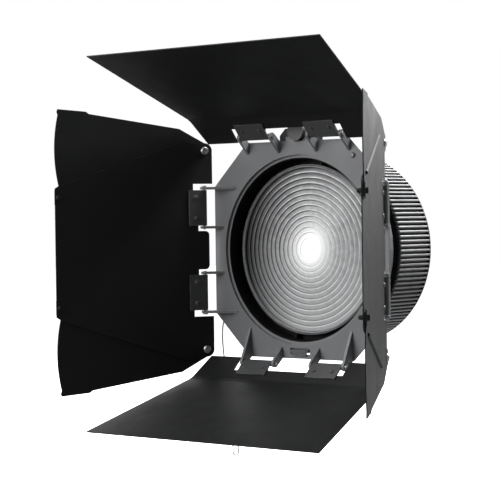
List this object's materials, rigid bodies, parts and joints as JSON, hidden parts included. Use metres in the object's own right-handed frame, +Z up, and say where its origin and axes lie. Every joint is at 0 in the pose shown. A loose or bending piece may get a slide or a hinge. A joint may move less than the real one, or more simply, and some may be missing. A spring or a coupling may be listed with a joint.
{
  "type": "fresnel spotlight",
  "caption": "Focusing fresnel lens head for a spotlight: stepped lens in a ribbed focus barrel, octagonal barn-door frame with folding leaves and swing-out wings.",
  "frame": {"origin": "centre of the rear bayonet's seating face, on the optical axis", "axes": "light leaves along -Y; +Z is up, towards the latch knob; +X is to the right seen from the front"},
  "size_m": [0.436, 0.3076, 0.4644],
  "materials": {
    "lens_glass": "clear",
    "rubber": "matte",
    "grip_rubber": "ribbed matte",
    "ring_grey": "satin",
    "knob": "moulded",
    "black_casting": "satin black",
    "black_sheet": "matt heat-proof black",
    "dark_steel": "blackened",
    "bright_steel": "plain"
  },
  "bodies": {
    "head": {"barrel": "black_casting", "barn_door_frame": "black_casting", "bottom_claw": "dark_steel", "frame_screw": "bright_steel", "rear_housing": "black_casting", "bayonet_mount": "bright_steel", "bayonet_screw_1": "dark_steel", "bayonet_screw_2": "dark_steel", "bayonet_screw_3": "dark_steel", "hinge_pin_top_1": "bright_steel", "hinge_pin_top_2": "bright_steel", "hinge_pin_bottom_1": "bright_steel", "hinge_pin_bottom_2": "bright_steel", "hinge_pin_left_1": "bright_steel", "hinge_pin_left_2": "bright_steel", "hinge_pin_right_1": "bright_steel", "hinge_pin_right_2": "bright_steel", "latch_spring": "bright_steel", "cable_anchor": "bright_steel", "safety_cable": "bright_steel", "cable_sleeve": "bright_steel", "snap_hook": "bright_steel"},
    "focus": {"focus_ring": "black_casting", "focus_grip": "grip_rubber"},
    "lens_carriage": {"lens_cell": "black_casting", "fresnel_lens": "lens_glass", "lens_gasket": "rubber", "lens_retaining_ring": "ring_grey", "cam_follower_1": "bright_steel", "cam_follower_2": "bright_steel", "cam_follower_3": "bright_steel"},
    "latch": {"latch_knob": "knob"},
    "leaf_top": {"leaf_top": "black_sheet", "hinge_plate_top_1": "dark_steel", "hinge_plate_top_2": "dark_steel"},
    "leaf_bottom": {"leaf_bottom": "black_sheet", "hinge_plate_bottom_1": "dark_steel", "hinge_plate_bottom_2": "dark_steel"},
    "leaf_left": {"leaf_left": "black_sheet", "hinge_plate_left_1": "dark_steel", "hinge_plate_left_2": "dark_steel", "wing_pivot_left_upper": "dark_steel", "guide_clip_left_upper": "dark_steel", "wing_pivot_left_lower": "dark_steel", "guide_clip_left_lower": "dark_steel"},
    "wing_left_upper": {"wing_left_upper": "black_sheet"},
    "wing_left_lower": {"wing_left_lower": "black_sheet"},
    "leaf_right": {"leaf_right": "black_sheet", "hinge_plate_right_1": "dark_steel", "hinge_plate_right_2": "dark_steel", "wing_pivot_right_upper": "dark_steel", "guide_clip_right_upper": "dark_steel", "wing_pivot_right_lower": "dark_steel", "guide_clip_right_lower": "dark_steel"},
    "wing_right_upper": {"wing_right_upper": "black_sheet"},
    "wing_right_lower": {"wing_right_lower": "black_sheet"}
  },
  "joints": [
    {"name": "focus_turn", "type": "hinge", "parent": "head", "child": "focus", "pos_m": [0, -0.0471, 0], "axis": [0, -1, 0], "range_deg": [0, 100]},
    {"name": "lens_slide", "type": "slide", "parent": "head", "child": "lens_carriage", "axis": [0, 1, 0], "range_m": [0, 0.04]},
    {"name": "latch_pull", "type": "slide", "parent": "head", "child": "latch", "axis": [0, 0, 1], "range_m": [0, 0.006], "stiffness_N_per_m": 900, "springref_m": -0.001, "deforming": ["latch_spring"]},
    {"name": "leaf_top_fold", "type": "hinge", "parent": "head", "child": "leaf_top", "pos_m": [0, -0.1396, 0.129], "axis": [1, 0, 0], "range_deg": [-55, 68]},
    {"name": "leaf_bottom_fold", "type": "hinge", "parent": "head", "child": "leaf_bottom", "pos_m": [0, -0.1396, -0.129], "axis": [-1, 0, 0], "range_deg": [-56, 62]},
    {"name": "leaf_left_fold", "type": "hinge", "parent": "head", "child": "leaf_left", "pos_m": [-0.129, -0.1396, 0], "axis": [0, 0, -1], "range_deg": [-67, 77]},
    {"name": "leaf_right_fold", "type": "hinge", "parent": "head", "child": "leaf_right", "pos_m": [0.129, -0.1396, 0], "axis": [0, 0, 1], "range_deg": [-67, 77]},
    {"name": "wing_left_upper_swing", "type": "hinge", "parent": "leaf_left", "child": "wing_left_upper", "pos_m": [-0.12854, -0.13871, 0.116], "axis": [0.887, -0.4617, 0], "range_deg": [0, 19]},
    {"name": "wing_left_lower_swing", "type": "hinge", "parent": "leaf_left", "child": "wing_left_lower", "pos_m": [-0.12854, -0.13871, -0.116], "axis": [-0.887, 0.4617, 0], "range_deg": [0, 19]},
    {"name": "wing_right_lower_swing", "type": "hinge", "parent": "leaf_right", "child": "wing_right_lower", "pos_m": [0.12853, -0.13872, -0.116], "axis": [-0.8805, -0.4741, 0], "range_deg": [0, 19]},
    {"name": "wing_right_upper_swing", "type": "hinge", "parent": "leaf_right", "child": "wing_right_upper", "pos_m": [0.12853, -0.13872, 0.116], "axis": [0.8805, 0.4741, 0], "range_deg": [0, 19]}
  ],
  "couplings": [
    {"joint": "lens_slide", "follows": "focus_turn", "m_per_rad": 0.022918}
  ]
}
